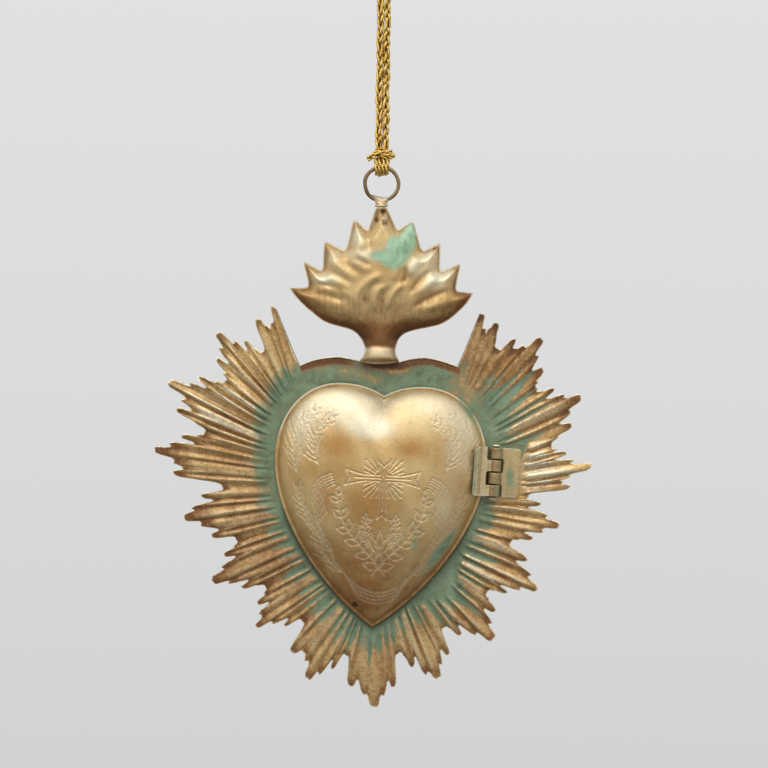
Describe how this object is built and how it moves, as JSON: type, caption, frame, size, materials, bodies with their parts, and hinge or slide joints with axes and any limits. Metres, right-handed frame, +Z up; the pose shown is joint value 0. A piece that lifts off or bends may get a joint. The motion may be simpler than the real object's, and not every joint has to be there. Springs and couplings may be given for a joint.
{
  "type": "heart ex-voto",
  "caption": "Hanging sheet-metal heart box: domed heart lid hinged on a plate of corrugated rays, hollow flame, wire ring and doubled cord.",
  "frame": {"origin": "where a nail bears on the inside of the cord's loop", "axes": "+Z up along the hanging cord, +Y into the wall, +X to the viewer's right"},
  "size_m": [0.1461, 0.0136, 0.2487],
  "materials": {
    "plate_brass": "aged gilt brass with brown edges and green verdigris",
    "lid_gilt": "satin aged gilt with engraved lines",
    "flame_gilt": "satin aged gilt with dark hollows",
    "hinge_brass": "worn gilt with green traces",
    "pin_copper": "coppery worn metal",
    "ring_brass": "dark aged brass wire",
    "gold_cord": "braided gold metallic thread"
  },
  "bodies": {
    "root": {"sunburst_plate": "plate_brass", "locating_band": "plate_brass", "plate_leaf": "hinge_brass", "hinge_pin": "pin_copper", "flame_front": "flame_gilt", "flame_back": "flame_gilt", "ring_ferrule": "ring_brass", "hanging_ring": "ring_brass", "cord_knot": "gold_cord", "cord_loop": "gold_cord"},
    "lid": {"heart_lid": "lid_gilt", "lid_leaf": "hinge_brass"}
  },
  "joints": [
    {"name": "lid_hinge", "type": "hinge", "parent": "root", "child": "lid", "pos_m": [0.03882, 0.0002, -0.16747], "axis": [0.0645, 0, 0.9979], "range_deg": [0, 150]}
  ]
}
